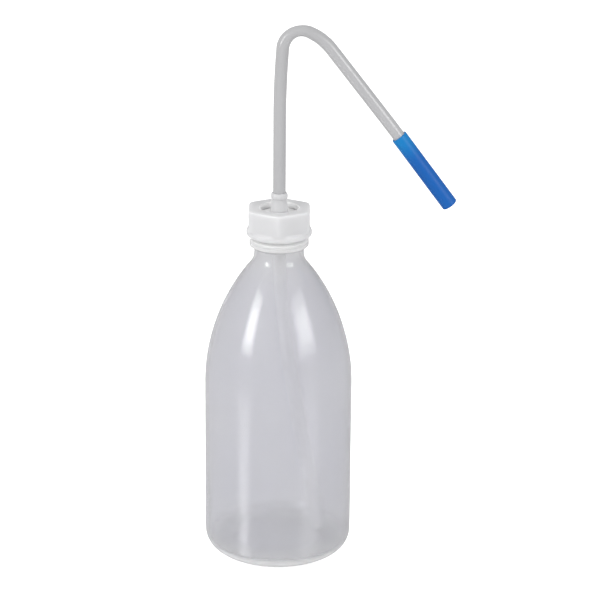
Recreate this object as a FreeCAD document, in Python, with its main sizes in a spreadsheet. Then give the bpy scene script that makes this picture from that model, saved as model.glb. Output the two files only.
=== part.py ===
"""A laboratory wash bottle: a blown bottle, a screw cap that clamps a spout insert on its neck,
a bent delivery tube that runs through the insert down into the bottle, and a cap on the tube's tip.

The bottle stands on z = 0 with its axis on Z. The delivery tube bends in the XZ plane, towards +X.
"""
import FreeCAD, Part
import math
import os
import Sketcher
from FreeCAD import Placement, Rotation, Vector

# Driving dimensions in millimetres and degrees, each with the word that names its cell.
SIZES = [
    # Bottle. The heights stack from the base up.
    ("body_radius", 37.5),
    ("body_height", 89.8),
    ("shoulder_height", 67.0),
    ("neck_length", 7.0),
    ("wall", 1.1),
    ("heel_radius", 9.2),
    ("neck_blend", 7.5),
    ("dish_radius", 24.0),
    ("dish_slope", 4.0),
    ("dish_depth", 2.4),
    # Finish of the neck, which carries the thread. The neck, collar, insert and cap follow it.
    ("finish_radius", 11.5),
    ("finish_wall", 1.2),
    ("neck_swell", 1.1),
    # Collar on the neck, below the thread.
    ("collar_width", 3.5),
    ("collar_height", 3.3),
    ("collar_fall", 0.5),
    ("collar_groove", 0.35),
    ("collar_edge", 0.65),
    # Thread, the same pitch on the neck and in the cap.
    ("thread_pitch", 3.5),
    ("thread_depth", 0.9),
    ("thread_width", 1.7),
    ("thread_flank", 0.35),
    ("thread_turns", 1.5),
    ("thread_gap", 0.25),
    ("thread_start", 3.0),
    ("rim_land", 0.45),
    # Spout insert, clamped between the neck's rim and the cap's top.
    ("plate_thickness", 1.7),
    ("plug_depth", 5.0),
    ("plug_wall", 1.2),
    ("plug_gap", 0.08),
    ("hub_wall", 1.45),
    ("hub_depth", 7.0),
    ("boss_base_wall", 1.5),
    ("boss_waist_wall", 0.45),
    ("boss_foot_blend", 0.85),
    ("boss_height", 7.6),
    ("bead_wall", 1.0),
    ("bead_height", 3.3),
    ("bead_edge", 0.8),
    ("bead_chamfer", 0.55),
    # Screw cap.
    ("cap_wall", 2.75),
    ("cap_corner_rise", 1.9),
    ("cap_sides", 6),
    ("cap_skirt_gap", 2.1),
    ("cap_top_thickness", 3.2),
    ("cap_top_gap", 0.1),
    ("cap_ledge", 2.95),
    ("cap_edge", 0.8),
    ("flange_width", 1.1),
    ("flange_height", 3.7),
    ("flange_straight", 2.2),
    ("flange_edge", 0.4),
    # Delivery tube. Its path is straight runs joined by tangent arcs.
    ("tube_radius", 3.2),
    ("tube_wall", 1.0),
    ("tube_fit", 0.05),
    ("stem_length", 39.2),
    ("curl_radius", 458.0),
    ("curl_turn", 4.3),
    ("crook_radius", 9.5),
    ("crook_turn", 110.0),
    ("sweep_radius", 28.0),
    ("sweep_turn", 27.9),
    ("arm_length", 42.7),
    ("droop_radius", 600.0),
    ("droop_turn", 1.1),
    ("tip_length", 42.0),
    ("dip_start", 1.0),
    ("dip_radius", 440.0),
    ("dip_turn", 9.8),
    ("dip_length", 87.0),
    ("jet_radius", 1.5),
    ("jet_bore_radius", 0.7),
    ("jet_taper_length", 7.0),
    ("jet_length", 8.0),
    # Cap on the tube's tip.
    ("tip_cap_wall", 0.8),
    ("tip_cap_end", 1.6),
    ("tip_cap_room", 1.5),
    ("tip_cap_overlap", 26.0),
    ("tip_cap_edge", 0.7),
]

doc = FreeCAD.newDocument("wash_bottle")
sizes = doc.addObject("Spreadsheet::Sheet", "sizes")
for row, (word, number) in enumerate(SIZES, start=1):
    sizes.set(f"A{row}", word)
    sizes.set(f"B{row}", str(number))
    sizes.setAlias(f"B{row}", word)
doc.recompute()


def value(expression):
    """The number that an expression on the sheet gives now."""
    return float(sizes.evalExpression(expression))


# The finish is as long as its thread and the cap's, which starts half a pitch higher.
FINISH_LENGTH = ("(sizes.thread_start + (sizes.thread_turns + 0.5) * sizes.thread_pitch"
                 " + sizes.thread_width / 2 + sizes.rim_land)")

# Heights that stack, as expressions on the sheet.
SHOULDER_TOP = "(sizes.body_height + sizes.shoulder_height)"
COLLAR_BOTTOM = f"({SHOULDER_TOP} + sizes.neck_length)"
COLLAR_MIDDLE = f"({COLLAR_BOTTOM} + sizes.collar_height / 2)"
COLLAR_TOP = f"({COLLAR_BOTTOM} + sizes.collar_height)"
RIM = f"({COLLAR_TOP} + {FINISH_LENGTH})"
PLATE_TOP = f"({RIM} + sizes.plate_thickness)"
HUB_BOTTOM = f"({RIM} - sizes.hub_depth)"
BOSS_WAIST = f"({PLATE_TOP} + sizes.boss_height)"
BOSS_TOP = f"({BOSS_WAIST} + sizes.bead_height)"
CAP_BOTTOM = f"({COLLAR_TOP} + sizes.cap_skirt_gap)"
CAP_CEILING = f"({PLATE_TOP} + sizes.cap_top_gap)"
CAP_TOP = f"({CAP_CEILING} + sizes.cap_top_thickness)"
THREAD_BOTTOM = f"({COLLAR_TOP} + sizes.thread_start)"
CAP_THREAD_BOTTOM = f"({THREAD_BOTTOM} + sizes.thread_pitch / 2)"

# Radii that follow the finish.
NECK_RADIUS = "(sizes.finish_radius + sizes.neck_swell)"
MOUTH_RADIUS = "(sizes.finish_radius - sizes.finish_wall)"
COLLAR_RADIUS = "(sizes.finish_radius + sizes.collar_width)"
THREAD_CREST = "(sizes.finish_radius + sizes.thread_depth)"
CAP_BORE = f"({THREAD_CREST} + sizes.thread_gap)"
CAP_THREAD_CREST = "(sizes.finish_radius + sizes.thread_gap)"
PLATE_RADIUS = f"({CAP_BORE} - sizes.thread_gap)"
PLUG_RADIUS = f"({MOUTH_RADIUS} - sizes.plug_gap)"
CAP_SIDE = f"({CAP_BORE} + sizes.cap_wall)"
CAP_CORNER = f"({CAP_SIDE} + sizes.cap_corner_rise)"
CAP_WINDOW = f"({CAP_BORE} - sizes.cap_ledge)"
FLANGE_RADIUS = f"({CAP_SIDE} + sizes.flange_width)"

# Radii that follow the tube.
TUBE_BORE = "(sizes.tube_radius - sizes.tube_wall)"
TUBE_HOLE = "(sizes.tube_radius + sizes.tube_fit)"
HUB_RADIUS = f"({TUBE_HOLE} + sizes.hub_wall)"
BOSS_BASE_RADIUS = f"({TUBE_HOLE} + sizes.boss_base_wall)"
BOSS_WAIST_RADIUS = f"({TUBE_HOLE} + sizes.boss_waist_wall)"
BEAD_RADIUS = f"({TUBE_HOLE} + sizes.bead_wall)"


def new_body(label):
    """An empty body whose label names its file."""
    body = doc.addObject("PartDesign::Body", label)
    body.Label = label
    return body


def new_sketch(body, name, plane, lift=None):
    """A sketch on one of the body's own origin planes, raised by an expression if one is given."""
    sketch = body.newObject("Sketcher::SketchObject", name)
    face = next(item for item in body.Origin.OriginFeatures if item.Role == plane)
    sketch.AttachmentSupport = [(face, "")]
    sketch.MapMode = "FlatFace"
    if lift:
        sketch.setExpression("AttachmentOffset.Base.z", lift)
    return sketch


def drive(sketch, constraint, expression):
    """Adds a constraint to a sketch and binds its size to an expression."""
    index = sketch.addConstraint(constraint)
    sketch.setExpression(f"Constraints[{index}]", expression)


def hold_point(sketch, geometry, end, across, up):
    """Ties one point of a sketch to two expressions, its distance from the axis and its height."""
    if across == "0":
        sketch.addConstraint(Sketcher.Constraint("PointOnObject", geometry, end, -2))
    else:
        drive(sketch, Sketcher.Constraint("DistanceX", -1, 1, geometry, end, value(across)), across)
    if up == "0":
        sketch.addConstraint(Sketcher.Constraint("PointOnObject", geometry, end, -1))
    else:
        drive(sketch, Sketcher.Constraint("DistanceY", -1, 1, geometry, end, value(up)), up)


def half_arc(start, end, centre):
    """The arc about centre from start to end that turns less than half a circle."""
    first = start - centre
    last = end - centre
    middle = (first + last).normalize() * first.Length + centre
    return Part.Arc(start, middle, end)


def outline(sketch, corners, arcs=None):
    """Draws a closed outline through corners, each a pair of expressions.

    arcs maps the number of a side that is an arc to the height of its centre.
    """
    arcs = arcs or {}
    points = [Vector(value(across), value(up), 0) for across, up in corners]
    count = len(points)
    ends = []
    for side in range(count):
        start = points[side]
        end = points[(side + 1) % count]
        if side not in arcs:
            sketch.addGeometry(Part.LineSegment(start, end), False)
            ends.append((1, 2))
            continue
        middle = (start + end) / 2
        chord = end - start
        level = value(arcs[side])
        centre = Vector(middle.x + (middle.y - level) * chord.y / chord.x, level, 0)
        arc = half_arc(start, end, centre)
        number = sketch.addGeometry(arc, False)
        drawn = sketch.Geometry[number]
        forward = drawn.StartPoint.distanceToPoint(start) < drawn.EndPoint.distanceToPoint(start)
        ends.append((1, 2) if forward else (2, 1))
    for side in range(count):
        following = (side + 1) % count
        joined = (side, ends[side][1], following, ends[following][0])
        sketch.addConstraint(Sketcher.Constraint("Coincident", *joined))
    for side, (across, up) in enumerate(corners):
        hold_point(sketch, side, ends[side][0], across, up)
    for side, height in arcs.items():
        drive(sketch, Sketcher.Constraint("DistanceY", -1, 1, side, 3, value(height)), height)


def turned(body, name, corners, arcs=None, kind="Revolution"):
    """Turns an outline about the Z axis, to add it to a body or, as a Groove, to cut it away."""
    sketch = new_sketch(body, f"{name}_outline", "XZ_Plane")
    outline(sketch, corners, arcs)
    feature = body.newObject(f"PartDesign::{kind}", name)
    feature.Profile = sketch
    feature.ReferenceAxis = (sketch, ["V_Axis"])
    feature.Angle = 360.0
    doc.recompute()
    return feature


def rings_at(feature, radius, height):
    """Names of a feature's circular edges about Z that have this radius and height."""
    names = []
    for number, edge in enumerate(feature.Shape.Edges, start=1):
        curve = edge.Curve
        if not isinstance(curve, Part.Circle):
            continue
        same_radius = abs(curve.Radius - value(radius)) < 1e-4
        same_height = abs(curve.Center.z - value(height)) < 1e-4
        if same_radius and same_height:
            names.append(f"Edge{number}")
    return names


def rounded(body, name, base, places, radius):
    """Rounds the circular edges at the places given, each a pair of radius and height."""
    fillet = body.newObject("PartDesign::Fillet", name)
    edges = [edge for place in places for edge in rings_at(base, *place)]
    fillet.Base = (base, edges)
    fillet.setExpression("Radius", radius)
    doc.recompute()
    return fillet


def threaded(body, name, root, depth, bottom, inward=False):
    """Winds a thread onto a body: a ridge on the radius root that stands out by depth, or in."""
    sketch = new_sketch(body, f"{name}_section", "XZ_Plane")
    sunk = "sizes.thread_gap"
    half_root = "sizes.thread_width / 2"
    half_crest = "(sizes.thread_width / 2 - sizes.thread_flank)"
    foot = f"({root} + {sunk})" if inward else f"({root} - {sunk})"
    crest = f"({root} - {depth})" if inward else f"({root} + {depth})"
    outline(sketch, [
        (foot, f"({bottom} - {half_root})"),
        (crest, f"({bottom} - {half_crest})"),
        (crest, f"({bottom} + {half_crest})"),
        (foot, f"({bottom} + {half_root})"),
    ])
    helix = body.newObject("PartDesign::AdditiveHelix", name)
    helix.Profile = sketch
    helix.ReferenceAxis = (sketch, ["V_Axis"])
    helix.Mode = "pitch-turns-angle"
    helix.setExpression("Pitch", "sizes.thread_pitch")
    helix.setExpression("Turns", "sizes.thread_turns")
    helix.Angle = 0.0
    helix.LeftHanded = False
    helix.Reversed = False
    doc.recompute()
    return helix


def make_bottle():
    """The blown bottle: cylinder, ogive shoulder, neck with a collar, and a threaded finish."""
    body = new_body("bottle")
    arcs = {3: "sizes.heel_radius", 5: "sizes.body_height"}
    dish_floor_radius = "(sizes.dish_radius - sizes.dish_slope)"
    heel_inner_edge = "(sizes.body_radius - sizes.heel_radius)"
    blank = turned(body, "bottle_blank", [
        ("0", "sizes.dish_depth"),
        (dish_floor_radius, "sizes.dish_depth"),
        ("sizes.dish_radius", "0"),
        (heel_inner_edge, "0"),
        ("sizes.body_radius", "sizes.heel_radius"),
        ("sizes.body_radius", "sizes.body_height"),
        (NECK_RADIUS, SHOULDER_TOP),
        (NECK_RADIUS, COLLAR_MIDDLE),
        ("sizes.finish_radius", COLLAR_MIDDLE),
        ("sizes.finish_radius", RIM),
        ("0", RIM),
    ], arcs)
    rounded(body, "neck_blend_outside", blank, [(NECK_RADIUS, SHOULDER_TOP)],
            "sizes.neck_blend")
    inner_radius = "(sizes.body_radius - sizes.wall)"
    inner_neck = f"({NECK_RADIUS} - sizes.wall)"
    hollow = turned(body, "bottle_hollow", [
        ("0", "(sizes.dish_depth + sizes.wall)"),
        (dish_floor_radius, "(sizes.dish_depth + sizes.wall)"),
        ("sizes.dish_radius", "sizes.wall"),
        (heel_inner_edge, "sizes.wall"),
        (inner_radius, "sizes.heel_radius"),
        (inner_radius, "sizes.body_height"),
        (inner_neck, SHOULDER_TOP),
        (inner_neck, COLLAR_BOTTOM),
        (MOUTH_RADIUS, COLLAR_MIDDLE),
        (MOUTH_RADIUS, RIM),
        ("0", RIM),
    ], arcs, "Groove")
    rounded(body, "neck_blend_inside", hollow, [(inner_neck, SHOULDER_TOP)],
            "sizes.neck_blend + sizes.wall")
    inside_finish = "(sizes.finish_radius - sizes.finish_wall / 2)"
    inside_neck = f"({NECK_RADIUS} - sizes.wall / 2)"
    collar = turned(body, "collar", [
        (inside_finish, COLLAR_MIDDLE),
        (inside_neck, f"({COLLAR_BOTTOM} - sizes.collar_fall)"),
        (NECK_RADIUS, f"({COLLAR_BOTTOM} - sizes.collar_fall)"),
        (COLLAR_RADIUS, COLLAR_BOTTOM),
        (COLLAR_RADIUS, f"({COLLAR_MIDDLE} - sizes.collar_groove)"),
        (f"({COLLAR_RADIUS} - sizes.collar_groove)", COLLAR_MIDDLE),
        (COLLAR_RADIUS, f"({COLLAR_MIDDLE} + sizes.collar_groove)"),
        (COLLAR_RADIUS, COLLAR_TOP),
        (inside_finish, COLLAR_TOP),
    ])
    rounded(body, "collar_edges", collar, [
        (COLLAR_RADIUS, COLLAR_BOTTOM),
        (COLLAR_RADIUS, COLLAR_TOP),
    ], "sizes.collar_edge")
    threaded(body, "neck_thread", "sizes.finish_radius", "sizes.thread_depth", THREAD_BOTTOM)
    return body


def make_spout_insert():
    """The insert: a plate on the neck's rim, a plug in its mouth, and a boss that holds the tube."""
    body = new_body("spout_insert")
    plug_inside = f"({PLUG_RADIUS} - sizes.plug_wall)"
    plug_bottom = f"({RIM} - sizes.plug_depth)"
    insert = turned(body, "insert_turned", [
        (TUBE_HOLE, HUB_BOTTOM),
        (HUB_RADIUS, HUB_BOTTOM),
        (HUB_RADIUS, RIM),
        (plug_inside, RIM),
        (plug_inside, plug_bottom),
        (PLUG_RADIUS, plug_bottom),
        (PLUG_RADIUS, RIM),
        (PLATE_RADIUS, RIM),
        (PLATE_RADIUS, PLATE_TOP),
        (BOSS_BASE_RADIUS, PLATE_TOP),
        (BOSS_WAIST_RADIUS, BOSS_WAIST),
        (BEAD_RADIUS, f"({BOSS_WAIST} + sizes.bead_edge)"),
        (BEAD_RADIUS, f"({BOSS_TOP} - sizes.bead_edge)"),
        (f"({BEAD_RADIUS} - sizes.bead_chamfer)", BOSS_TOP),
        (TUBE_HOLE, BOSS_TOP),
    ])
    rounded(body, "boss_foot", insert, [(BOSS_BASE_RADIUS, PLATE_TOP)], "sizes.boss_foot_blend")
    return body


def make_screw_cap():
    """The screw cap: six flats on a round blank, a flange at the foot and a window in the top."""
    body = new_body("screw_cap")
    round_sketch = new_sketch(body, "cap_round", "XY_Plane", CAP_BOTTOM)
    round_sketch.addGeometry(Part.Circle(Vector(0, 0, 0), Vector(0, 0, 1),
                                         value(CAP_CORNER)), False)
    round_sketch.addConstraint(Sketcher.Constraint("Coincident", 0, 3, -1, 1))
    drive(round_sketch, Sketcher.Constraint("Radius", 0, value(CAP_CORNER)), CAP_CORNER)
    blank = body.newObject("PartDesign::Pad", "cap_blank")
    blank.Profile = round_sketch
    blank.setExpression("Length", f"{CAP_TOP} - {CAP_BOTTOM}")
    doc.recompute()

    flat_sketch = new_sketch(body, "cap_flat_outline", "XY_Plane", CAP_BOTTOM)
    reach = f"({CAP_CORNER} * 2)"
    outline(flat_sketch, [
        (CAP_SIDE, f"(0 - {reach})"),
        (reach, f"(0 - {reach})"),
        (reach, reach),
        (CAP_SIDE, reach),
    ])
    flat = body.newObject("PartDesign::Pocket", "cap_flat")
    flat.Profile = flat_sketch
    flat.Reversed = True
    flat.setExpression("Length", f"{CAP_TOP} - {CAP_BOTTOM}")
    doc.recompute()
    flats = body.newObject("PartDesign::PolarPattern", "cap_flats")
    flats.Originals = [flat]
    flats.Axis = (flat_sketch, ["N_Axis"])
    flats.Angle = 360.0
    flats.setExpression("Occurrences", "sizes.cap_sides")
    body.Tip = flats
    doc.recompute()

    top_edges = []
    for number, edge in enumerate(flats.Shape.Edges, start=1):
        heights = [vertex.Z for vertex in edge.Vertexes]
        if min(heights) > value(CAP_TOP) - 1e-4:
            top_edges.append(f"Edge{number}")
    soft_top = body.newObject("PartDesign::Fillet", "cap_top_edge")
    soft_top.Base = (flats, top_edges)
    soft_top.setExpression("Radius", "sizes.cap_edge")
    doc.recompute()

    flange_side = f"({CAP_BOTTOM} + sizes.flange_straight)"
    flange_top = f"({CAP_BOTTOM} + sizes.flange_height)"
    flange = turned(body, "flange", [
        (CAP_BORE, CAP_BOTTOM),
        (FLANGE_RADIUS, CAP_BOTTOM),
        (FLANGE_RADIUS, flange_side),
        (CAP_SIDE, flange_top),
        (CAP_BORE, flange_top),
    ])
    rounded(body, "flange_edge", flange, [(FLANGE_RADIUS, CAP_BOTTOM)], "sizes.flange_edge")
    turned(body, "cap_bore", [
        ("0", CAP_BOTTOM),
        (CAP_BORE, CAP_BOTTOM),
        (CAP_BORE, CAP_CEILING),
        (CAP_WINDOW, CAP_CEILING),
        (CAP_WINDOW, CAP_TOP),
        ("0", CAP_TOP),
    ], None, "Groove")
    crest_depth = f"({CAP_BORE} - {CAP_THREAD_CREST})"
    threaded(body, "cap_thread", CAP_BORE, crest_depth, CAP_THREAD_BOTTOM, inward=True)
    return body


def bent_path(sketch, start, steps):
    """Draws a path from a height on the axis: straight runs, and arcs tangent to what comes before.

    Each step is (way, length) for a run, or (side, radius, turn) for an arc, where way and side
    are +1 or -1: the path sets off up or down, and an arc bends clockwise for +1.
    """
    position = Vector(0, value(start), 0)
    heading = None
    previous_end = None
    for number, step in enumerate(steps):
        if heading is None:
            heading = 90.0 if step[0] > 0 else -90.0
        if len(step) == 2:
            along = Vector(math.cos(math.radians(heading)), math.sin(math.radians(heading)), 0)
            target = position + along * value(step[1])
            sketch.addGeometry(Part.LineSegment(position, target), False)
            first, last = 1, 2
            drive(sketch, Sketcher.Constraint("Distance", number, value(step[1])), step[1])
        else:
            side, radius, turn = step
            normal = math.radians(heading - 90.0 * side)
            centre = position + Vector(math.cos(normal), math.sin(normal), 0) * value(radius)
            spoke = position - centre
            half = Rotation(Vector(0, 0, 1), -side * value(turn) / 2).multVec(spoke)
            whole = Rotation(Vector(0, 0, 1), -side * value(turn)).multVec(spoke)
            target = centre + whole
            sketch.addGeometry(Part.Arc(position, centre + half, target), False)
            first, last = (2, 1) if side > 0 else (1, 2)
            heading = heading - side * value(turn)
            drive(sketch, Sketcher.Constraint("Radius", number, value(radius)), radius)
            span = Sketcher.Constraint("Angle", number, math.radians(value(turn)))
            drive(sketch, span, f"{turn} * 1 deg")
        if previous_end is None:
            hold_point(sketch, 0, 1, "0", start)
            sketch.addConstraint(Sketcher.Constraint("Vertical", 0))
        else:
            joined = (number - 1, previous_end, number, first)
            sketch.addConstraint(Sketcher.Constraint("Tangent", *joined))
        previous_end = last
        position = target
    tip = math.radians(heading)
    return position, Vector(math.cos(tip), math.sin(tip), 0)


def pipe(body, name, profile, spine, kind):
    """Carries a round profile along a path, to add a rod to a body or cut a bore through it."""
    feature = body.newObject(f"PartDesign::{kind}", name)
    feature.Profile = profile
    feature.Spine = spine
    doc.recompute()
    return feature


def round_profile(body, name, radius, lift):
    """A circle about the axis, at a height."""
    sketch = new_sketch(body, name, "XY_Plane", lift)
    sketch.addGeometry(Part.Circle(Vector(0, 0, 0), Vector(0, 0, 1), value(radius)), False)
    sketch.addConstraint(Sketcher.Constraint("Coincident", 0, 3, -1, 1))
    drive(sketch, Sketcher.Constraint("Radius", 0, value(radius)), radius)
    return sketch


def make_delivery_tube():
    """The bent tube, from the bottom of the bottle through the insert to its drawn-out tip."""
    rod = doc.addObject("PartDesign::Body", "tube_run")
    up = new_sketch(rod, "path_up", "XZ_Plane")
    stem = f"({BOSS_TOP} - {HUB_BOTTOM} + sizes.stem_length)"
    tip, direction = bent_path(up, HUB_BOTTOM, [
        (1, stem),
        (1, "sizes.curl_radius", "sizes.curl_turn"),
        (1, "sizes.crook_radius", "sizes.crook_turn"),
        (1, "sizes.sweep_radius", "sizes.sweep_turn"),
        (1, "sizes.arm_length"),
        (1, "sizes.droop_radius", "sizes.droop_turn"),
        (1, "sizes.tip_length - sizes.jet_taper_length - sizes.jet_length"),
    ])
    down = new_sketch(rod, "path_down", "XZ_Plane")
    bent_path(down, HUB_BOTTOM, [
        (-1, "sizes.dip_start"),
        (-1, "sizes.dip_radius", "sizes.dip_turn"),
        (-1, "sizes.dip_length"),
    ])
    doc.recompute()
    outside = round_profile(rod, "tube_outside", "sizes.tube_radius", HUB_BOTTOM)
    bore = round_profile(rod, "tube_bore", TUBE_BORE, HUB_BOTTOM)
    doc.recompute()
    for name, profile, spine, kind in (
        ("rod_up", outside, up, "AdditivePipe"),
        ("rod_down", outside, down, "AdditivePipe"),
        ("bore_up", bore, up, "SubtractivePipe"),
        ("bore_down", bore, down, "SubtractivePipe"),
    ):
        pipe(rod, name, profile, spine, kind)

    jet = doc.addObject("PartDesign::Body", "jet")
    taper_end = "sizes.jet_taper_length"
    jet_end = "(sizes.jet_taper_length + sizes.jet_length)"
    turned(jet, "jet_turned", [
        (TUBE_BORE, "0"),
        ("sizes.tube_radius", "0"),
        ("sizes.jet_radius", taper_end),
        ("sizes.jet_radius", jet_end),
        ("sizes.jet_bore_radius", jet_end),
        ("sizes.jet_bore_radius", taper_end),
    ])
    start = Vector(tip.x, 0, tip.y)
    along = Vector(direction.x, 0, direction.y)
    frame = Placement(start, Rotation(Vector(0, 0, 1), along))
    jet.Placement = frame
    tube = doc.addObject("Part::MultiFuse", "delivery_tube")
    tube.Label = "delivery_tube"
    tube.Shapes = [rod, jet]
    doc.recompute()
    return tube, frame


def make_tip_cap(tip_frame):
    """The closed sleeve that is pushed over the tube's tip."""
    body = new_body("tip_cap")
    bore = TUBE_HOLE
    outside = f"({bore} + sizes.tip_cap_wall)"
    mouth = "(0 - sizes.tip_cap_overlap)"
    bore_end = "(sizes.jet_taper_length + sizes.jet_length + sizes.tip_cap_room)"
    far_end = f"({bore_end} + sizes.tip_cap_end)"
    cap = turned(body, "tip_cap_turned", [
        ("0", bore_end),
        (bore, bore_end),
        (bore, mouth),
        (outside, mouth),
        (outside, far_end),
        ("0", far_end),
    ])
    rounded(body, "tip_cap_edges", cap, [(outside, far_end)], "sizes.tip_cap_edge")
    body.Placement = tip_frame
    doc.recompute()
    return body


def check_document(nodes):
    """Stops if any object failed, or if a node is not a valid solid."""
    for item in doc.Objects:
        state = [word for word in item.State if word in ("Invalid", "Error")]
        if state:
            raise RuntimeError(f"{item.Name} is {state}")
    for node in nodes:
        shape = node.Shape
        if shape.isNull() or not shape.isValid() or not shape.Solids:
            raise RuntimeError(f"{node.Label} has no valid solid")


def main():
    """Builds every node, checks them and writes one STEP file each."""
    bottle = make_bottle()
    insert = make_spout_insert()
    cap = make_screw_cap()
    tube, tip_frame = make_delivery_tube()
    tip_cap = make_tip_cap(tip_frame)
    doc.recompute()
    nodes = [bottle, insert, cap, tube, tip_cap]
    check_document(nodes)
    os.makedirs("parts", exist_ok=True)
    for node in nodes:
        node.Shape.exportStep(f"parts/{node.Label}.step")
        box = node.Shape.BoundBox
        print(f"{node.Label}: {len(node.Shape.Solids)} solid, {node.Shape.Volume:.0f} mm3, "
              f"x {box.XMin:.1f} to {box.XMax:.1f}, z {box.ZMin:.1f} to {box.ZMax:.1f}")
    print("tip at", tip_frame.Base, "heading", tip_frame.Rotation.multVec(Vector(0, 0, 1)))


main()
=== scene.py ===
"""The looks of the wash bottle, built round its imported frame. Lengths in the shapes are in millimetres."""
import math

import bpy
from mathutils import Matrix, Vector


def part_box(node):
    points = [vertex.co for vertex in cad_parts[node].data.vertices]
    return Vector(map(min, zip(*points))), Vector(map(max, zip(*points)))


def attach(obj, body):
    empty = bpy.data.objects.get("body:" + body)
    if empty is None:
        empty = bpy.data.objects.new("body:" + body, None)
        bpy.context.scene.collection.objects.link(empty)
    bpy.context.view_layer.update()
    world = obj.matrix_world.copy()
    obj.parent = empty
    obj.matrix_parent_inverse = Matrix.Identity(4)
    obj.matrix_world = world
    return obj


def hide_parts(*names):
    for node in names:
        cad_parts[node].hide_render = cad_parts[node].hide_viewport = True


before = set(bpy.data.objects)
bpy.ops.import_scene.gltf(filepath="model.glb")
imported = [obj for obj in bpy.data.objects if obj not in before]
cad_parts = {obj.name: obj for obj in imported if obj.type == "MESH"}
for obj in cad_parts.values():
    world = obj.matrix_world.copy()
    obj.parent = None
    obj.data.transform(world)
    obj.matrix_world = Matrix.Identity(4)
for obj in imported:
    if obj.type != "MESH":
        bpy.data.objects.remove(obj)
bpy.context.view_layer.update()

MM = 0.001
TURN = 2 * math.pi


# ---------------------------------------------------------------- sizes from the frame

def node_box(node):
    """A node's lowest and highest corner in millimetres."""
    low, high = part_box(node)
    return low / MM, high / MM


bottle_low, bottle_high = node_box("bottle")
cap_low, cap_high = node_box("screw_cap")
insert_low, insert_high = node_box("spout_insert")

BODY_RADIUS = (bottle_high.y - bottle_low.y) / 2
RIM = bottle_high.z
CAP_BOTTOM = cap_low.z
CAP_TOP = cap_high.z
HUB_BOTTOM = insert_low.z
BOSS_TOP = insert_high.z
PLATE_RADIUS = (insert_high.x - insert_low.x) / 2
CAP_CORNER = (cap_high.y - cap_low.y) / 2

# ---------------------------------------------------------------- sizes that the boxes don't give

WALL = 1.1
HEEL = 9.2
DISH_RADIUS = 24.0
DISH_SLOPE = 4.0
DISH_DEPTH = 2.4
DISH_BLEND = 2.5
FOOT_EDGE = 1.2
BODY_HEIGHT = 89.8
SHOULDER_HEIGHT = 67.0
NECK_RADIUS = 12.6
NECK_BLEND = 7.5
COLLAR_RADIUS = 15.0
COLLAR_HEIGHT = 3.3
COLLAR_FALL = 0.5
COLLAR_FOOT = 0.5
COLLAR_EDGE = 0.7
GROOVE_DEPTH = 0.35
GROOVE_EDGE = 0.12
GROOVE_FLOOR = 0.1
FINISH_RADIUS = 11.5
FINISH_LENGTH = 11.3
FINISH_EDGE = 0.4
MOUTH_RADIUS = 10.3
MOUTH_EDGE = 0.3
MOUTH_BLEND = 0.8
THREAD_PITCH = 3.5
THREAD_DEPTH = 0.9
THREAD_WIDTH = 1.7
THREAD_FLANK = 0.45
THREAD_TURNS = 1.53
THREAD_LEAD = 0.04
THREAD_GAP = 0.25
THREAD_START = 3.0
SEAM_HEIGHT = 0.07
SEAM_WIDTH = 0.35
WAVE_HEIGHT = 0.05
HEEL_PIECES = 10
SHOULDER_PIECES = 36

TUBE_RADIUS = 3.2
TUBE_BORE = 2.2
TUBE_FIT = 0.05
TUBE_HOLE = TUBE_RADIUS + TUBE_FIT

COLLAR_TOP = RIM - FINISH_LENGTH
COLLAR_BOTTOM = COLLAR_TOP - COLLAR_HEIGHT
THREAD_BOTTOM = COLLAR_TOP + THREAD_START

# ---------------------------------------------------------------- outlines

BEND_STEP = 12.0
LEAST_BEND = 0.001
TOUCHING = 0.01


def eased(share):
    """A share from 0 to 1 that starts and ends gently."""
    return share * share * (3 - 2 * share)


def turned(point, angle):
    """A point of the plane turned about the origin."""
    return Vector((point.x * math.cos(angle) - point.y * math.sin(angle),
                   point.x * math.sin(angle) + point.y * math.cos(angle)))


def pointing(heading):
    """The unit vector of the XZ plane at a heading in degrees from +X."""
    return Vector((math.cos(math.radians(heading)), math.sin(math.radians(heading))))


def soft_corners(corners, closed, step):
    """Points along an outline of (x, z, fillet) corners, with each corner rounded and no long gaps."""
    count = len(corners)
    points = []
    for number, (x, z, fillet) in enumerate(corners):
        here = Vector((x, z))
        inner = closed or 0 < number < count - 1
        if not inner or fillet <= 0:
            points.append(here)
            continue
        before = (Vector(corners[number - 1][:2]) - here).normalized()
        after = (Vector(corners[(number + 1) % count][:2]) - here).normalized()
        opening = before.angle(after)
        bend = math.pi - opening
        if bend < LEAST_BEND:
            points.append(here)
            continue
        reach = fillet / math.tan(opening / 2)
        centre = here + (before + after).normalized() * (fillet / math.sin(opening / 2))
        start = here + before * reach - centre
        end = here + after * reach - centre
        sense = 1 if start.x * end.y > start.y * end.x else -1
        pieces = max(3, math.ceil(math.degrees(bend) / BEND_STEP))
        points.extend(centre + turned(start, sense * bend * piece / pieces) for piece in range(pieces + 1))
    filled = []
    following = points[1:] + points[:1] if closed else points[1:]
    for start, end in zip(points, following):
        pieces = max(1, math.ceil((end - start).length / step))
        filled.extend(start.lerp(end, piece / pieces) for piece in range(pieces))
    if not closed:
        filled.append(points[-1])
    return filled


def arc_points(start, end, centre, pieces):
    """Corners along the arc from start to end about a centre, without the two ends."""
    first = math.atan2(start[1] - centre[1], start[0] - centre[0])
    last = math.atan2(end[1] - centre[1], end[0] - centre[0])
    radius = math.dist(start, centre)
    angles = [first + (last - first) * piece / pieces for piece in range(1, pieces)]
    return [(centre[0] + radius * math.cos(a), centre[1] + radius * math.sin(a), 0) for a in angles]


# ---------------------------------------------------------------- meshes

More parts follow.
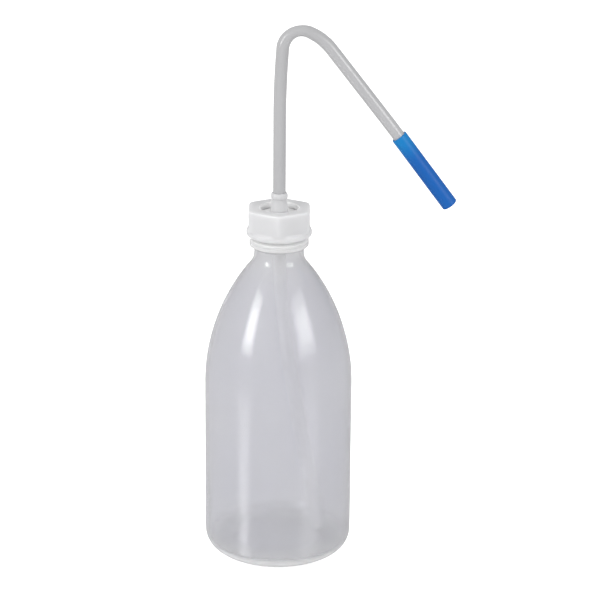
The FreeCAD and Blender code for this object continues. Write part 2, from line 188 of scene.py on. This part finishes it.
def make_mesh(name, vertices, faces):
    """A smooth-shaded object from vertices in millimetres."""
    mesh = bpy.data.meshes.new(name)
    mesh.from_pydata([(x * MM, y * MM, z * MM) for x, y, z in vertices], [], faces)
    mesh.polygons.foreach_set("use_smooth", [True] * len(mesh.polygons))
    mesh.update()
    made = bpy.data.objects.new(name, mesh)
    bpy.context.scene.collection.objects.link(made)
    return made


def skin(name, rings, closed):
    """A mesh over rings of points, where a ring of one point is a pole."""
    vertices = []
    numbered = []
    for ring in rings:
        numbered.append(range(len(vertices), len(vertices) + len(ring)))
        vertices.extend(ring)
    faces = []
    following = numbered[1:] + numbered[:1] if closed else numbered[1:]
    for low, high in zip(numbered, following):
        segments = max(len(low), len(high))
        for here in range(segments):
            beside = (here + 1) % segments
            if len(low) == 1:
                faces.append((low[0], high[beside], high[here]))
            elif len(high) == 1:
                faces.append((low[here], low[beside], high[0]))
            else:
                faces.append((low[here], low[beside], high[beside], high[here]))
    return make_mesh(name, vertices, faces)


def lathe(name, outline, segments, closed, shape=None):
    """Turns an outline about Z. shape(angle, radius, z) may move the radius of a point."""
    rings = []
    for x, z in outline:
        if x < TOUCHING:
            rings.append([(0, 0, z)])
            continue
        ring = []
        for segment in range(segments):
            angle = TURN * segment / segments
            radius = shape(angle, x, z) if shape else x
            ring.append((radius * math.cos(angle), radius * math.sin(angle), z))
        rings.append(ring)
    return skin(name, rings, closed)


def ridge(height):
    """How far the thread stands out, from 0 to 1, at a height from its middle."""
    rise = (THREAD_WIDTH / 2 - abs(height)) / THREAD_FLANK
    return eased(min(1.0, max(0.0, rise)))


def thread_share(angle, z, bottom):
    """How much of the thread's depth stands out at a point of a wall that carries it."""
    share = 0.0
    for lap in range(math.ceil(THREAD_TURNS)):
        run = angle / TURN + lap
        lead = min(1.0, run / THREAD_LEAD, (THREAD_TURNS - run) / THREAD_LEAD)
        share = max(share, max(0.0, lead) * ridge(z - bottom - run * THREAD_PITCH))
    return share


# ---------------------------------------------------------------- bottle

def bottle_side(inset):
    """Corners of the bottle's side from its heel to its neck, at a depth inside its outer face."""
    radius = BODY_RADIUS - inset
    neck = NECK_RADIUS - inset
    across = radius - neck
    ogive = (across * across + SHOULDER_HEIGHT * SHOULDER_HEIGHT) / (2 * across)
    inner = BODY_RADIUS - HEEL
    top = BODY_HEIGHT + SHOULDER_HEIGHT
    heel = arc_points((inner, inset), (radius, HEEL), (inner, HEEL), HEEL_PIECES)
    shoulder = arc_points((radius, BODY_HEIGHT), (neck, top), (radius - ogive, BODY_HEIGHT), SHOULDER_PIECES)
    # the shoulder's last two points make way for the blend into the neck
    return [
        (inner, inset, 0),
        *heel,
        (radius, HEEL, 0),
        (radius, BODY_HEIGHT, 0),
        *shoulder[:-2],
        (neck, top, NECK_BLEND + inset),
    ]


def make_bottle():
    """The blown bottle as one closed wall, with its collar, thread and recessed base."""
    middle = COLLAR_BOTTOM + COLLAR_HEIGHT / 2
    outside = [
        (0, DISH_DEPTH, 0),
        (DISH_RADIUS - DISH_SLOPE, DISH_DEPTH, DISH_BLEND),
        (DISH_RADIUS, 0, FOOT_EDGE),
        *bottle_side(0),
        (NECK_RADIUS, COLLAR_BOTTOM - COLLAR_FALL, COLLAR_FOOT),
        (COLLAR_RADIUS, COLLAR_BOTTOM, COLLAR_EDGE),
        (COLLAR_RADIUS, middle - GROOVE_DEPTH, GROOVE_EDGE),
        (COLLAR_RADIUS - GROOVE_DEPTH, middle, GROOVE_FLOOR),
        (COLLAR_RADIUS, middle + GROOVE_DEPTH, GROOVE_EDGE),
        (COLLAR_RADIUS, COLLAR_TOP, COLLAR_EDGE),
        (FINISH_RADIUS, COLLAR_TOP, FINISH_EDGE),
        (FINISH_RADIUS, RIM, FINISH_EDGE),
        (MOUTH_RADIUS, RIM, MOUTH_EDGE),
    ]
    inside = [
        (0, DISH_DEPTH + WALL, 0),
        (DISH_RADIUS - DISH_SLOPE, DISH_DEPTH + WALL, DISH_BLEND),
        (DISH_RADIUS, WALL, FOOT_EDGE),
        *bottle_side(WALL),
        (NECK_RADIUS - WALL, COLLAR_BOTTOM, MOUTH_BLEND),
        (MOUTH_RADIUS, middle, MOUTH_BLEND),
    ]
    outline = soft_corners(outside + inside[::-1], closed=False, step=1.2)
    finish_middle = (MOUTH_RADIUS + FINISH_RADIUS) / 2
    blown_start = NECK_RADIUS - 0.5

    def shape(angle, radius, z):
        if z > COLLAR_TOP + FINISH_EDGE and radius > finish_middle:
            return radius + THREAD_DEPTH * thread_share(angle, z, THREAD_BOTTOM)
        if z < COLLAR_BOTTOM - COLLAR_FALL and radius > blown_start:
            # the mould's parting line, and slow dents that don't repeat
            seam = SEAM_HEIGHT * math.exp(-(math.sin(angle) * radius / SEAM_WIDTH) ** 2)
            wave = WAVE_HEIGHT * math.sin(3 * angle + z / 17) * math.sin(z / 23 + 1.3 * math.sin(2 * angle))
            return radius + seam + wave
        return radius

    return lathe("bottle_shell", outline, 192, closed=False, shape=shape)


# ---------------------------------------------------------------- closure

CAP_SIDES = 6
CAP_FLATS = 30.8
CAP_EDGE = 1.0
CAP_FOOT = 0.35
CAP_TOP_THICKNESS = 3.2
CAP_WINDOW = 9.7
CAP_WINDOW_EDGE = 0.5
CAP_INNER_EDGE = 0.3
CAP_BORE = FINISH_RADIUS + THREAD_DEPTH + THREAD_GAP
CORNER_SOFTNESS = 0.35
FLANGE_RADIUS = 16.5
FLANGE_HEIGHT = 3.7
FLANGE_STRAIGHT = 0.6 * FLANGE_HEIGHT
FLANGE_FOOT = 0.9
FLANGE_EDGE = 0.7
FLANGE_BLEND = 0.5


def hexagon_radius(angle):
    """The distance from the axis to the cap's six-sided wall with its rounded corners."""
    side = TURN / CAP_SIDES
    away = (angle + side / 2) % side - side / 2
    straight = CAP_FLATS / 2 / math.cos(away)
    past_corner = math.log1p(math.exp((straight - CAP_CORNER) / CORNER_SOFTNESS))
    return straight - CORNER_SOFTNESS * past_corner


def make_screw_cap():
    """The six-sided cap with its round flange, window and inner thread."""
    ceiling = CAP_TOP - CAP_TOP_THICKNESS
    blend_low = CAP_BOTTOM + FLANGE_STRAIGHT
    blend_high = CAP_BOTTOM + FLANGE_HEIGHT
    corners = [
        (CAP_BORE, CAP_BOTTOM, CAP_FOOT),
        (FLANGE_RADIUS, CAP_BOTTOM, FLANGE_FOOT),
        (FLANGE_RADIUS, blend_low, FLANGE_EDGE),
        (CAP_FLATS / 2, blend_high, FLANGE_BLEND),
        (CAP_FLATS / 2, CAP_TOP, CAP_EDGE),
        (CAP_WINDOW, CAP_TOP, CAP_WINDOW_EDGE),
        (CAP_WINDOW, ceiling, CAP_INNER_EDGE),
        (CAP_BORE, ceiling, CAP_INNER_EDGE),
    ]
    outline = soft_corners(corners, closed=True, step=0.5)

    thread_low = CAP_BOTTOM + 0.6
    thread_high = ceiling - 0.4
    hexagon_start = CAP_BORE + 0.5

    def shape(angle, radius, z):
        if abs(radius - CAP_BORE) < TOUCHING and thread_low < z < thread_high:
            return radius - THREAD_DEPTH * thread_share(angle, z, THREAD_BOTTOM + THREAD_PITCH / 2)
        if radius > hexagon_start and z > blend_low:
            share = min(1.0, (z - blend_low) / (blend_high - blend_low))
            if z > CAP_TOP - TOUCHING:
                share = min(1.0, (radius - CAP_WINDOW) / (CAP_FLATS / 2 - CAP_WINDOW))
            return radius + share * (hexagon_radius(angle) - CAP_FLATS / 2)
        return radius

    return lathe("cap_shell", outline, 240, closed=True, shape=shape)


PLATE_THICKNESS = 1.7
PLATE_EDGE = 0.3
PLATE_FOOT = 0.05
PLUG_RADIUS = MOUTH_RADIUS - 0.08
PLUG_DEPTH = 5.0
PLUG_WALL = 1.2
PLUG_EDGE = 0.7
PLUG_LIP = 0.3
HUB_RADIUS = 4.7
HUB_EDGE = 0.4
HOLE_EDGE = 0.25
BOSS_BASE = 4.75
BOSS_FOOT_BLEND = 0.9
BOSS_WAIST = 3.7
BOSS_WAIST_BLEND = 0.4
BEAD_RADIUS = 4.25
BEAD_HEIGHT = 3.3
BEAD_BEVEL = BEAD_HEIGHT / 4
BEAD_FALL = 0.55
BEAD_FOOT_EDGE = 0.6
BEAD_EDGE = 0.8
BEAD_TOP_EDGE = 0.25
HOLE_TOP_EDGE = 0.2


def make_insert():
    """The insert: plug, plate and the boss that the tube comes out of."""
    plate_top = RIM + PLATE_THICKNESS
    waist = BOSS_TOP - BEAD_HEIGHT
    plug_inside = PLUG_RADIUS - PLUG_WALL
    corners = [
        (TUBE_HOLE, HUB_BOTTOM, HOLE_EDGE),
        (HUB_RADIUS, HUB_BOTTOM, HUB_EDGE),
        (HUB_RADIUS, RIM, HUB_EDGE),
        (plug_inside, RIM, HUB_EDGE),
        (plug_inside, RIM - PLUG_DEPTH, PLUG_LIP),
        (PLUG_RADIUS, RIM - PLUG_DEPTH, PLUG_EDGE),
        (PLUG_RADIUS, RIM, PLATE_FOOT),
        (PLATE_RADIUS, RIM, PLATE_EDGE),
        (PLATE_RADIUS, plate_top, PLATE_EDGE),
        (BOSS_BASE, plate_top, BOSS_FOOT_BLEND),
        (BOSS_WAIST, waist, BOSS_WAIST_BLEND),
        (BEAD_RADIUS, waist + BEAD_BEVEL, BEAD_FOOT_EDGE),
        (BEAD_RADIUS, BOSS_TOP - BEAD_BEVEL, BEAD_EDGE),
        (BEAD_RADIUS - BEAD_FALL, BOSS_TOP, BEAD_TOP_EDGE),
        (TUBE_HOLE, BOSS_TOP, HOLE_TOP_EDGE),
    ]
    return lathe("insert_shell", soft_corners(corners, closed=True, step=0.5), 128, closed=True)


# ---------------------------------------------------------------- tube

STEM = 39.2
PATH_UP = [
    ("run", BOSS_TOP - HUB_BOTTOM + STEM),
    ("arc", 458.0, 4.3),
    ("arc", 9.5, 110.0),
    ("arc", 28.0, 27.9),
    ("run", 42.7),
    ("arc", 600.0, 1.1),
    ("run", 27.0),
]
PATH_DOWN = [("run", 1.0), ("arc", 440.0, 9.8), ("run", 87.0)]
PATH_STEP = 1.2
PATH_BEND = 4.0
TUBE_SEGMENTS = 40
JET_TAPER = 7.0
JET_LENGTH = 8.0
JET_RADIUS = 1.5
JET_BORE = 0.7
JET_PIECES = 10
CROOK_LOW = BOSS_TOP + STEM + 30
CROOK_HEADING = 12.0
CROOK_SPREAD = 62.0
CROOK_SQUASH = 0.15
CROOK_WIDENING = 0.6


def walk(start_z, heading, steps):
    """Points and headings along a path in the XZ plane that starts upright and bends towards +X."""
    position = Vector((0.0, start_z))
    sense = 1 if heading > 0 else -1
    places = [(position.copy(), heading)]
    for kind, *sizes in steps:
        if kind == "run":
            length = sizes[0]
            bend = 0.0
            pieces = max(1, math.ceil(length / PATH_STEP))
            chord = length / pieces
        else:
            radius, turn = sizes
            pieces = max(1, math.ceil(turn / PATH_BEND), math.ceil(math.radians(turn) * radius / PATH_STEP))
            bend = sense * turn / pieces
            chord = 2 * radius * math.sin(math.radians(turn / pieces) / 2)
        for _ in range(pieces):
            position = position + pointing(heading - bend / 2) * chord
            heading -= bend
            places.append((position.copy(), heading))
    return places


up_path = walk(HUB_BOTTOM, 90.0, PATH_UP)
down_path = walk(HUB_BOTTOM, -90.0, PATH_DOWN)
tip_place, tip_heading = up_path[-1]


def tube_stations():
    """Place, heading, outer and inner radius along the tube, from its cut end to its jet."""
    places = [(point, heading + 180.0) for point, heading in down_path[:0:-1]] + up_path
    stations = [(point, heading, TUBE_RADIUS, TUBE_BORE) for point, heading in places]
    direction = pointing(tip_heading)
    for piece in range(1, JET_PIECES + 1):
        share = piece / JET_PIECES
        stations.append((tip_place + direction * JET_TAPER * share, tip_heading,
                         TUBE_RADIUS + (JET_RADIUS - TUBE_RADIUS) * eased(share),
                         TUBE_BORE + (JET_BORE - TUBE_BORE) * eased(share)))
    stations.append((tip_place + direction * (JET_TAPER + JET_LENGTH), tip_heading, JET_RADIUS, JET_BORE))
    return stations


def tube_ring(point, heading, radius):
    """One ring of the tube's wall, flatter and wider where the crook bends it."""
    across = pointing(heading + 90)
    bent = max(0.0, 1 - abs(heading - CROOK_HEADING) / CROOK_SPREAD) if point.y > CROOK_LOW else 0.0
    squash = CROOK_SQUASH * eased(bent)
    ring = []
    for segment in range(TUBE_SEGMENTS):
        angle = -TURN * segment / TUBE_SEGMENTS
        out = across * (radius * (1 - squash) * math.cos(angle))
        side = radius * (1 + squash * CROOK_WIDENING) * math.sin(angle)
        ring.append((point.x + out.x, side, point.y + out.y))
    return ring


def make_tube():
    """The delivery tube from its cut end in the bottle to its drawn-out jet."""
    stations = tube_stations()
    outside = [tube_ring(point, heading, outer) for point, heading, outer, _ in stations]
    inside = [tube_ring(point, heading, inner) for point, heading, _, inner in stations]
    return skin("tube_run", outside + inside[::-1], closed=True)


SLEEVE_WALL = 0.8
SLEEVE_MOUTH = -26.0
SLEEVE_MOUTH_EDGE = 0.3
SLEEVE_ROOM = 1.5
SLEEVE_END = 1.6
SLEEVE_END_EDGE = 0.9
SLEEVE_INNER_EDGE = 0.6


def make_tip_cap():
    """The closed blue sleeve on the tube's tip. Its outline runs along the tube's heading."""
    outside = TUBE_HOLE + SLEEVE_WALL
    inner_end = JET_TAPER + JET_LENGTH + SLEEVE_ROOM
    outer_end = inner_end + SLEEVE_END
    corners = [
        (0, inner_end, 0),
        (TUBE_HOLE, inner_end, SLEEVE_INNER_EDGE),
        (TUBE_HOLE, SLEEVE_MOUTH, SLEEVE_MOUTH_EDGE),
        (outside, SLEEVE_MOUTH, SLEEVE_MOUTH_EDGE),
        (outside, outer_end, SLEEVE_END_EDGE),
        (0, outer_end, 0),
    ]
    made = lathe("tip_sleeve", soft_corners(corners, closed=False, step=0.8), 64, closed=False)
    direction = pointing(tip_heading)
    turn = Vector((direction.x, 0, direction.y)).to_track_quat("Z", "Y").to_matrix().to_4x4()
    place = Matrix.Translation(Vector((tip_place.x, 0, tip_place.y)) * MM)
    made.data.transform(place @ turn)
    return made


# ---------------------------------------------------------------- shader nodes

NOISE_LOW = 0.3
NOISE_HIGH = 0.7
WHITE = (1, 1, 1, 1)


def new_material(name):
    """A material with nodes."""
    material = bpy.data.materials.new(name)
    material.use_nodes = True
    return material


def shader_of(material):
    """A material's main shader."""
    return material.node_tree.nodes["Principled BSDF"]


def put(material, socket, value):
    """Sets a value of the shader that is the same all over."""
    shader_of(material).inputs[socket].default_value = value


def drive(material, socket, source):
    """Feeds a value of the shader that changes from place to place."""
    material.node_tree.links.new(source, shader_of(material).inputs[socket])


def noise(tree, scale, detail):
    """Noise over the object's own coordinates."""
    place = tree.nodes.new("ShaderNodeTexCoord")
    texture = tree.nodes.new("ShaderNodeTexNoise")
    texture.inputs["Scale"].default_value = scale
    texture.inputs["Detail"].default_value = detail
    tree.links.new(place.outputs["Object"], texture.inputs["Vector"])
    return texture.outputs["Fac"]


def tinted(tree, source, low, high):
    """A noise as a colour between two colours."""
    node = tree.nodes.new("ShaderNodeValToRGB")
    for element, place, colour in zip(node.color_ramp.elements, (NOISE_LOW, NOISE_HIGH), (low, high)):
        element.position = place
        element.color = (*colour, 1)
    tree.links.new(source, node.inputs["Fac"])
    return node.outputs["Color"]


def mapped(tree, source, start, end, low, high, interpolation="LINEAR"):
    """A number that goes from low to high as its source goes from start to end."""
    node = tree.nodes.new("ShaderNodeMapRange")
    node.interpolation_type = interpolation
    for socket, value in (("From Min", start), ("From Max", end), ("To Min", low), ("To Max", high)):
        node.inputs[socket].default_value = value
    tree.links.new(source, node.inputs["Value"])
    return node.outputs["Result"]


def combined(tree, operation, first, second):
    """Two numbers put together by an operation."""
    node = tree.nodes.new("ShaderNodeMath")
    node.operation = operation
    tree.links.new(first, node.inputs[0])
    tree.links.new(second, node.inputs[1])
    return node.outputs["Value"]


def blended(tree, share, first, second):
    """Two colours or sockets mixed by a share from 0 to 1."""
    node = tree.nodes.new("ShaderNodeMix")
    node.data_type = "RGBA"
    tree.links.new(share, node.inputs["Factor"])
    for socket, source in ((node.inputs[6], first), (node.inputs[7], second)):
        if isinstance(source, tuple):
            socket.default_value = (*source, 1)
        else:
            tree.links.new(source, socket)
    return node.outputs[2]


def along(tree, direction, start, end, low, high):
    """A number that goes from low to high between two places along a direction of the object."""
    place = tree.nodes.new("ShaderNodeTexCoord")
    project = tree.nodes.new("ShaderNodeVectorMath")
    project.operation = "DOT_PRODUCT"
    project.inputs[1].default_value = direction
    tree.links.new(place.outputs["Object"], project.inputs[0])
    return mapped(tree, project.outputs["Value"], start * MM, end * MM, low, high, "SMOOTHSTEP")


def upwards(tree, start, end, low, high):
    """A number that goes from low to high between two heights of the object."""
    return along(tree, (0, 0, 1), start, end, low, high)


def outwards(tree, start, end, low, high):
    """A number that goes from low to high between two distances from the object's upright axis."""
    place = tree.nodes.new("ShaderNodeTexCoord")
    flat = tree.nodes.new("ShaderNodeVectorMath")
    flat.operation = "MULTIPLY"
    flat.inputs[1].default_value = (1, 1, 0)
    far = tree.nodes.new("ShaderNodeVectorMath")
    far.operation = "LENGTH"
    tree.links.new(place.outputs["Object"], flat.inputs[0])
    tree.links.new(flat.outputs["Vector"], far.inputs[0])
    return mapped(tree, far.outputs["Value"], start * MM, end * MM, low, high)


# ---------------------------------------------------------------- materials

PLASTIC_IOR = 1.5
CLOUD_NOISE = (25, 4)
SATIN_NOISE = (180, 3)
PEEL_DETAIL = 2
PEEL_DEPTH = 0.03 * MM
# painted light: a pale colour put where shade falls, in the gap under the cap and in the cap's window, to
# lift that shade
PAINTED_LIGHT_PALE = (0.96, 0.96, 0.96)
BODY_CLEARNESS = 0.78
HEEL_CLEARNESS = 0.4
COLLAR_CLEARNESS = 0.1
COLLAR_SCATTER = 0.8
GAP_GLOW = 0.13  # stands in for the light that comes through the milky cap and collar

# heights between which a material changes, and in the cap's window two distances from the axis
HEEL_CLEARS = (3, 8)
HEEL_PALES = (3, 16)
NECK_PALES = (COLLAR_BOTTOM - 20, COLLAR_BOTTOM - 4)
COLLAR_STARTS = (COLLAR_BOTTOM - 1.5, COLLAR_BOTTOM)
# painted light: the next five ranges mark where a pale colour or a glow lifts the shade in the gap under the
# cap and in the cap's window
COLLAR_LAND_PAINTED_LIGHT = (COLLAR_TOP - 0.4, COLLAR_TOP)
GAP_WALL = (COLLAR_TOP + 0.1, COLLAR_TOP + 0.5)
CAP_UNDERSIDE_PAINTED_LIGHT = (CAP_BOTTOM, CAP_BOTTOM + 0.4)
CAP_WINDOW_PAINTED_LIGHT = (CAP_WINDOW + 0.1, CAP_WINDOW + 0.6)
PLATE_PAINTED_LIGHT = (RIM + PLATE_THICKNESS, RIM + PLATE_THICKNESS + 1)
TUBE_ENTERS = (HUB_BOTTOM, HUB_BOTTOM + 5)


def polyethylene(name, low, high, rough, bump_scale, bump):
    """Polyethylene: a cloudy colour and a satin surface with fine orange peel."""
    material = new_material(name)
    tree = material.node_tree
    drive(material, "Base Color", tinted(tree, noise(tree, *CLOUD_NOISE), low, high))
    drive(material, "Roughness", mapped(tree, noise(tree, *SATIN_NOISE), NOISE_LOW, NOISE_HIGH, *rough))
    peel = tree.nodes.new("ShaderNodeBump")
    peel.inputs["Strength"].default_value = bump
    peel.inputs["Distance"].default_value = PEEL_DEPTH
    tree.links.new(noise(tree, bump_scale, PEEL_DETAIL), peel.inputs["Height"])
    drive(material, "Normal", peel.outputs["Normal"])
    put(material, "IOR", PLASTIC_IOR)
    return material


def scatter(material, reach):
    """How far light travels inside a milky plastic, the same for every colour."""
    put(material, "Subsurface Radius", (1, 1, 1))
    put(material, "Subsurface Scale", reach * MM)


def paint(material, share, colour):
    """Lays a colour over the material's own, by a share from 0 to 1."""
    own = shader_of(material).inputs["Base Color"].links[0].from_socket
    drive(material, "Base Color", blended(material.node_tree, share, own, colour))


def bottle_plastic():
    """Clear milky plastic on the body, paler at heel and neck, and white where the collar is thick. In the
    gap under the cap the collar's top face is painted pale and the finish above it glows: painted light that
    lifts the shade there.
    """
    material = polyethylene("bottle_polyethylene", (0.87, 0.87, 0.915), (0.90, 0.90, 0.93), (0.14, 0.18),
                            90, 0.12)
    tree = material.node_tree
    scatter(material, 9)
    paint(material, upwards(tree, *HEEL_PALES, 1, 0), (0.98, 0.98, 0.99))
    paint(material, upwards(tree, *NECK_PALES, 0, 1), (0.95, 0.95, 0.965))
    paint(material, upwards(tree, *COLLAR_STARTS, 0, 1), (0.69, 0.69, 0.695))
    # painted light: the collar's top face in the gap under the cap is painted pale, and the finish above it
    # glows, to lift the shade in that gap
    paint(material, upwards(tree, *COLLAR_LAND_PAINTED_LIGHT, 0, 1), PAINTED_LIGHT_PALE)
    drive(material, "Emission Strength", upwards(tree, *GAP_WALL, 0, GAP_GLOW))
    drive(material, "Subsurface Weight", upwards(tree, *COLLAR_STARTS, 0, COLLAR_SCATTER))
    body = upwards(tree, *COLLAR_STARTS, BODY_CLEARNESS, COLLAR_CLEARNESS)
    heel = upwards(tree, *HEEL_CLEARS, HEEL_CLEARNESS, 1)
    drive(material, "Transmission Weight", combined(tree, "MULTIPLY", body, heel))
    return material


def cap_plastic():
    """White plastic that light goes into, painted paler under the cap and on its window's wall: painted
    light that lifts the shade there.
    """
    material = polyethylene("cap_polyethylene", (0.62, 0.62, 0.63), (0.65, 0.65, 0.66), (0.30, 0.38),
                            250, 0.10)
    tree = material.node_tree
    scatter(material, 7)
    put(material, "Subsurface Weight", 0.8)
    # painted light: the cap's underside and its window's wall are painted pale to lift the shade in the gap
    # and in the window
    paint(material, upwards(tree, *CAP_UNDERSIDE_PAINTED_LIGHT, 1, 0), PAINTED_LIGHT_PALE)
    paint(material, outwards(tree, *CAP_WINDOW_PAINTED_LIGHT, 1, 0), PAINTED_LIGHT_PALE)
    return material


def insert_plastic():
    """The cap's plastic in a thinner wall, painted paler on the plate in the cap's window: painted light
    that lifts the shade in the window.
    """
    material = polyethylene("insert_polyethylene", (0.60, 0.60, 0.61), (0.63, 0.63, 0.64), (0.30, 0.38),
                            250, 0.10)
    scatter(material, 4)
    put(material, "Subsurface Weight", 0.3)
    # painted light: the plate and everything below it is painted pale to lift the shade at the bottom of the
    # cap's window
    paint(material, upwards(material.node_tree, *PLATE_PAINTED_LIGHT, 1, 0), (0.92, 0.92, 0.92))
    return material


def tube_plastic():
    """Grey-white glossy tube, painted paler and not clear on its stretch inside the bottle; the paler colour
    is painted light that stands in for the light the milky bottle scatters onto it.
    """
    material = polyethylene("tube_polyethylene", (0.46, 0.46, 0.47), (0.49, 0.49, 0.50), (0.08, 0.11),
                            150, 0.08)
    tree = material.node_tree
    # painted light: the stretch inside the bottle is painted paler to stand in for light scattered onto it
    # inside the milky bottle
    paint(material, upwards(tree, *TUBE_ENTERS, 1, 0), (0.94, 0.94, 0.94))
    drive(material, "Transmission Weight", upwards(tree, *TUBE_ENTERS, 0, 0.1))
    return material


def sleeve_plastic():
    """Blue soft plastic, lighter towards the sleeve's mouth."""
    material = polyethylene("blue_plastic", (0.004, 0.100, 0.39), (0.006, 0.112, 0.42), (0.38, 0.46),
                            400, 0.10)
    direction = pointing(tip_heading)
    mouth = direction.dot(tip_place) + SLEEVE_MOUTH
    near_mouth = along(material.node_tree, (direction.x, 0, direction.y), mouth + 1, mouth + 16, 1, 0)
    paint(material, near_mouth, (0.003, 0.19, 0.50))
    put(material, "Specular IOR Level", 0.25)
    return material


# ---------------------------------------------------------------- pieces on their bodies

for make, node, body, slot, make_material in (
    (make_bottle, "bottle", "bottle", "bottle_polyethylene", bottle_plastic),
    (make_insert, "spout_insert", "insert", "closure_polyethylene", insert_plastic),
    (make_screw_cap, "screw_cap", "cap", "closure_polyethylene", cap_plastic),
    (make_tube, "delivery_tube", "tube", "tube_polyethylene", tube_plastic),
    (make_tip_cap, "tip_cap", "tip_cap", "blue_plastic", sleeve_plastic),
):
    piece = make()
    piece.data.materials.append(make_material())
    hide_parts(node)
    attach(piece, body)

# ---------------------------------------------------------------- floor, light and camera, in metres

FLOOR_REACH = 3.0
FLOOR_PALE = ((0.43, 0.43, 0.43), (0.45, 0.45, 0.45))
FLOOR_SHOWN = ((1.80, 1.80, 1.80), (1.82, 1.82, 1.82))
FLOOR_NOISE = (3, 2)
FLOOR_GLOW = 0.25
LIGHT_AIM = Vector((0, 0, 0.12))
SOFTBOXES = (
    ("key", (-0.7475, -0.543, 0.503), (0.36, 0.62), 2.6),
    ("key_core", (-0.740, -0.538, 0.480), (0.24, 0.34), 1.3),
    ("fill", (0.718, -0.581, 0.503), (0.60, 0.62), 2.4),
    ("fill_core", (0.711, -0.575, 0.480), (0.40, 0.34), 1.1),
)
SKY_STEPS = (
    ("Z", 0.0, 0.9, 0.53, 0.86),
    ("X", -1.0, 1.0, 0.10, -0.10),
    ("Y", -1.0, 0.2, 0.05, 0.0),
)
CAMERA_PLACE = (0.01073, -1.2, 0.5509)
CAMERA_LENS = 150.6
CAMERA_DIP = 19.147
CAMERA_ROLL = 0.468


def make_floor():
    """A plain pale table with a slight gloss. The camera sees it lighter, so that it shows as white."""
    reach = FLOOR_REACH / MM
    corners = [(-reach, -reach, 0), (reach, -reach, 0), (reach, reach, 0), (-reach, reach, 0)]
    floor = make_mesh("floor", corners, [(0, 1, 2, 3)])
    material = new_material("floor_white")
    tree = material.node_tree
    cloud = noise(tree, *FLOOR_NOISE)
    seen = tree.nodes.new("ShaderNodeLightPath").outputs["Is Camera Ray"]
    colour = blended(tree, seen, tinted(tree, cloud, *FLOOR_PALE), tinted(tree, cloud, *FLOOR_SHOWN))
    drive(material, "Base Color", colour)
    put(material, "Roughness", 0.05)
    put(material, "IOR", 3.5)
    put(material, "Emission Color", WHITE)
    put(material, "Emission Strength", FLOOR_GLOW)
    floor.data.materials.append(material)


def make_softbox(name, place, size, power):
    """A rectangular studio light that points at the bottle."""
    light = bpy.data.lights.new(name, "AREA")
    light.shape = "RECTANGLE"
    light.size, light.size_y = size
    light.energy = power
    made = bpy.data.objects.new(name, light)
    made.location = place
    made.rotation_mode = "QUATERNION"
    made.rotation_quaternion = (LIGHT_AIM - Vector(place)).to_track_quat("-Z", "Y")
    bpy.context.scene.collection.objects.link(made)


def make_sky():
    """Even light, brightest overhead and a little brighter at the left and the front. It shows as white."""
    world = bpy.data.worlds.new("studio")
    world.use_nodes = True
    tree = world.node_tree
    way = tree.nodes.new("ShaderNodeTexCoord")
    parts = tree.nodes.new("ShaderNodeSeparateXYZ")
    tree.links.new(way.outputs["Generated"], parts.inputs["Vector"])
    height, side, front = (
        mapped(tree, parts.outputs[axis], *sizes, "SMOOTHSTEP") for axis, *sizes in SKY_STEPS
    )
    strength = combined(tree, "ADD", combined(tree, "ADD", height, side), front)
    seen = tree.nodes.new("ShaderNodeLightPath").outputs["Is Camera Ray"]
    background = tree.nodes["Background"]
    background.inputs["Color"].default_value = WHITE
    tree.links.new(combined(tree, "MAXIMUM", strength, seen), background.inputs["Strength"])
    bpy.context.scene.world = world


def make_camera():
    """The camera, in front of the bottle and above it, with a slight roll."""
    data = bpy.data.cameras.new("camera")
    data.sensor_width = 36
    data.lens = CAMERA_LENS
    data.clip_start = 0.05
    data.clip_end = 20
    camera = bpy.data.objects.new("camera", data)
    tilt = Matrix.Rotation(math.radians(90 - CAMERA_DIP), 4, "X")
    roll = Matrix.Rotation(math.radians(CAMERA_ROLL), 4, "Z")
    camera.matrix_world = Matrix.Translation(CAMERA_PLACE) @ tilt @ roll
    bpy.context.scene.collection.objects.link(camera)
    bpy.context.scene.camera = camera


make_floor()
make_sky()
for softbox in SOFTBOXES:
    make_softbox(*softbox)
bpy.context.scene.view_settings.view_transform = "Standard"
make_camera()
